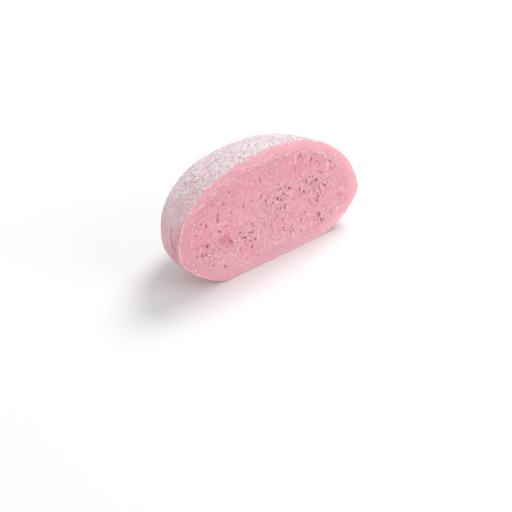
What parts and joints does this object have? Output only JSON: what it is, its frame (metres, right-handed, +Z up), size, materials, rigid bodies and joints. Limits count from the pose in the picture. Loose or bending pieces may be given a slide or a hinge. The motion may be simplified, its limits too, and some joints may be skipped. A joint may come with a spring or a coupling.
{
  "type": "mochi rice cake half",
  "caption": "Half of a round pink mochi rice cake: a soft dough skin around a crumbly pink filling that shows on the flat, upright cut face.",
  "frame": {"origin": "centre of the half's bounding box seen from above, at the flat foot it stands on", "axes": "+Z up; +X along the length of the cut face, to the right for someone who looks at the cut; the cut face is upright and faces -Y; +Y towards the rounded back"},
  "size_m": [0.05, 0.025, 0.026],
  "materials": {
    "dough": "soft, slightly translucent pink rice dough, matte where it is dusted with white starch and faintly moist on the cut",
    "filling": "crumbly, aerated pink filling with small dark red pits, matte to faintly moist"
  },
  "bodies": {
    "root": {"dough": "dough", "filling": "filling"}
  },
  "joints": []
}
